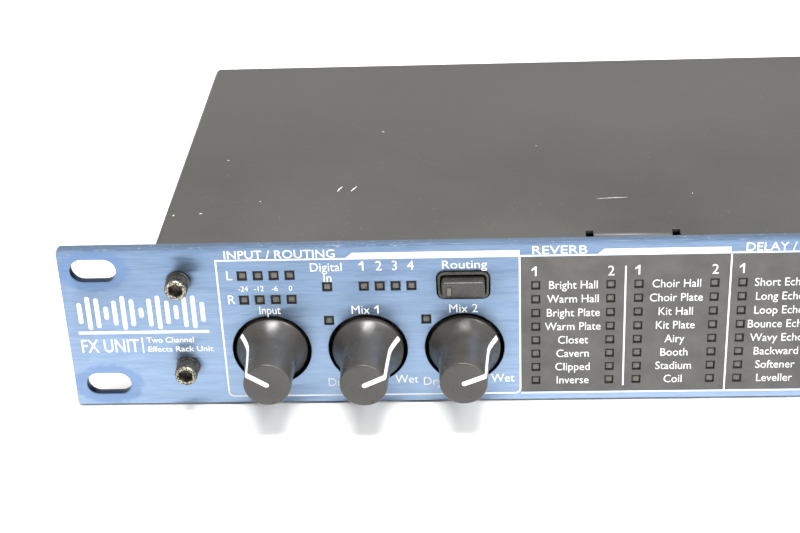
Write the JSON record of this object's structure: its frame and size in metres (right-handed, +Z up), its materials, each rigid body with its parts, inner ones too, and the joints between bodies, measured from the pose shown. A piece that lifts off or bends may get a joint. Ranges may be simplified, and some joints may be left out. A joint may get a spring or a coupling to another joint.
{
  "type": "rack effects unit",
  "caption": "One-unit 19-inch rack effects processor with turning knobs, push buttons, light windows, a folded steel case and rear sockets.",
  "frame": {"origin": "middle of the footprint, on the surface that the case stands on", "axes": "+X along the panel towards the display, +Y towards the rear sockets, +Z up; the controls face -Y"},
  "size_m": [0.4826, 0.137, 0.0443],
  "materials": {
    "panel_blue": "brushed and blue anodised, with white print",
    "case_black": "satin black paint over folded steel",
    "fastener_black": "black oxide",
    "knob_black": "smooth half-gloss black",
    "button_black": "fine satin black",
    "light_guide": "smoked clear moulding",
    "display_tint": "dark red tinted window",
    "module_grey": "grey display body with light segments",
    "board_green": "green board with soldered components",
    "shaft_steel": "turned steel",
    "socket_black": "moulded black",
    "socket_metal": "plated sheet",
    "print_white": "white screen print",
    "print_black": "satin black screen print"
  },
  "bodies": {
    "chassis": {"front_panel": "panel_blue", "chassis_tray": "case_black", "rear_panel": "case_black", "top_cover": "case_black", "routing_button_frame": "button_black", "button_frame_strip": "button_black", "control_board": "board_green", "main_board": "board_green", "input_light_guide": "light_guide", "list_light_guide": "light_guide", "display_window": "display_tint", "display_module": "module_grey", "power_inlet": "socket_black", "digital_sockets": "socket_black", "usb_socket": "socket_metal", "midi_in_socket": "socket_black", "midi_out_socket": "socket_black", "footswitch_jack": "socket_black", "input_jack_left": "socket_black", "input_jack_right": "socket_black", "output_jack_left": "socket_black", "output_jack_right": "socket_black", "panel_screw_1": "fastener_black", "cover_screw_1": "fastener_black", "panel_screw_2": "fastener_black", "cover_screw_2": "fastener_black", "panel_screw_3": "fastener_black", "cover_screw_3": "fastener_black", "panel_screw_4": "fastener_black", "cover_screw_4": "fastener_black"},
    "input_control": {"input_knob": "knob_black", "input_shaft": "shaft_steel"},
    "mix_1_control": {"mix_1_knob": "knob_black", "mix_1_shaft": "shaft_steel"},
    "mix_2_control": {"mix_2_knob": "knob_black", "mix_2_shaft": "shaft_steel"},
    "processor_1_effect_control": {"processor_1_effect_knob": "knob_black", "processor_1_effect_shaft": "shaft_steel"},
    "processor_1_adjust_1_control": {"processor_1_adjust_1_knob": "knob_black", "processor_1_adjust_1_shaft": "shaft_steel"},
    "processor_1_adjust_2_control": {"processor_1_adjust_2_knob": "knob_black", "processor_1_adjust_2_shaft": "shaft_steel"},
    "processor_1_adjust_3_control": {"processor_1_adjust_3_knob": "knob_black", "processor_1_adjust_3_shaft": "shaft_steel"},
    "processor_2_effect_control": {"processor_2_effect_knob": "knob_black", "processor_2_effect_shaft": "shaft_steel"},
    "processor_2_adjust_1_control": {"processor_2_adjust_1_knob": "knob_black", "processor_2_adjust_1_shaft": "shaft_steel"},
    "processor_2_adjust_2_control": {"processor_2_adjust_2_knob": "knob_black", "processor_2_adjust_2_shaft": "shaft_steel"},
    "processor_2_adjust_3_control": {"processor_2_adjust_3_knob": "knob_black", "processor_2_adjust_3_shaft": "shaft_steel"},
    "program_control": {"program_knob": "knob_black", "program_shaft": "shaft_steel"},
    "routing_key": {"routing_button": "button_black"},
    "tempo_1_key": {"tempo_1_button": "button_black"},
    "bypass_1_key": {"bypass_1_button": "button_black"},
    "tempo_2_key": {"tempo_2_button": "button_black"},
    "bypass_2_key": {"bypass_2_button": "button_black"},
    "store_key": {"store_button": "button_black"}
  },
  "joints": [
    {"name": "input_turn", "type": "hinge", "parent": "chassis", "child": "input_control", "pos_m": [-0.1917, -0.05245, 0.01569], "axis": [0, 1, 0], "range_deg": [-93, 207]},
    {"name": "mix_1_turn", "type": "hinge", "parent": "chassis", "child": "mix_1_control", "pos_m": [-0.1683, -0.05245, 0.01569], "axis": [0, 1, 0], "range_deg": [-215, 85]},
    {"name": "mix_2_turn", "type": "hinge", "parent": "chassis", "child": "mix_2_control", "pos_m": [-0.1449, -0.05245, 0.01569], "axis": [0, 1, 0], "range_deg": [-218, 82]},
    {"name": "processor_1_effect_turn", "type": "hinge", "parent": "chassis", "child": "processor_1_effect_control", "pos_m": [-0.02115, -0.05245, 0.01569], "axis": [0, 1, 0], "continuous": true},
    {"name": "processor_1_adjust_1_turn", "type": "hinge", "parent": "chassis", "child": "processor_1_adjust_1_control", "pos_m": [0.00125, -0.05245, 0.01569], "axis": [0, 1, 0], "range_deg": [-110, 190]},
    {"name": "processor_1_adjust_2_turn", "type": "hinge", "parent": "chassis", "child": "processor_1_adjust_2_control", "pos_m": [0.02365, -0.05245, 0.01569], "axis": [0, 1, 0], "range_deg": [-170, 130]},
    {"name": "processor_1_adjust_3_turn", "type": "hinge", "parent": "chassis", "child": "processor_1_adjust_3_control", "pos_m": [0.04605, -0.05245, 0.01569], "axis": [0, 1, 0], "range_deg": [-75, 225]},
    {"name": "processor_2_effect_turn", "type": "hinge", "parent": "chassis", "child": "processor_2_effect_control", "pos_m": [0.06995, -0.05245, 0.01569], "axis": [0, 1, 0], "continuous": true},
    {"name": "processor_2_adjust_1_turn", "type": "hinge", "parent": "chassis", "child": "processor_2_adjust_1_control", "pos_m": [0.09235, -0.05245, 0.01569], "axis": [0, 1, 0], "range_deg": [-210, 90]},
    {"name": "processor_2_adjust_2_turn", "type": "hinge", "parent": "chassis", "child": "processor_2_adjust_2_control", "pos_m": [0.11475, -0.05245, 0.01569], "axis": [0, 1, 0], "range_deg": [-140, 160]},
    {"name": "processor_2_adjust_3_turn", "type": "hinge", "parent": "chassis", "child": "processor_2_adjust_3_control", "pos_m": [0.13715, -0.05245, 0.01569], "axis": [0, 1, 0], "range_deg": [-185, 115]},
    {"name": "program_turn", "type": "hinge", "parent": "chassis", "child": "program_control", "pos_m": [0.1763, -0.05245, 0.01569], "axis": [0, 1, 0], "continuous": true},
    {"name": "routing_press", "type": "slide", "parent": "chassis", "child": "routing_key", "axis": [0, 1, 0], "range_m": [0, 0.0005], "stiffness_N_per_m": 3200},
    {"name": "tempo_1_press", "type": "slide", "parent": "chassis", "child": "tempo_1_key", "axis": [0, 1, 0], "range_m": [0, 0.0005], "stiffness_N_per_m": 3200},
    {"name": "bypass_1_press", "type": "slide", "parent": "chassis", "child": "bypass_1_key", "axis": [0, 1, 0], "range_m": [0, 0.0005], "stiffness_N_per_m": 3200},
    {"name": "tempo_2_press", "type": "slide", "parent": "chassis", "child": "tempo_2_key", "axis": [0, 1, 0], "range_m": [0, 0.0005], "stiffness_N_per_m": 3200},
    {"name": "bypass_2_press", "type": "slide", "parent": "chassis", "child": "bypass_2_key", "axis": [0, 1, 0], "range_m": [0, 0.0005], "stiffness_N_per_m": 3200},
    {"name": "store_press", "type": "slide", "parent": "chassis", "child": "store_key", "axis": [0, 1, 0], "range_m": [0, 0.0005], "stiffness_N_per_m": 3200}
  ]
}
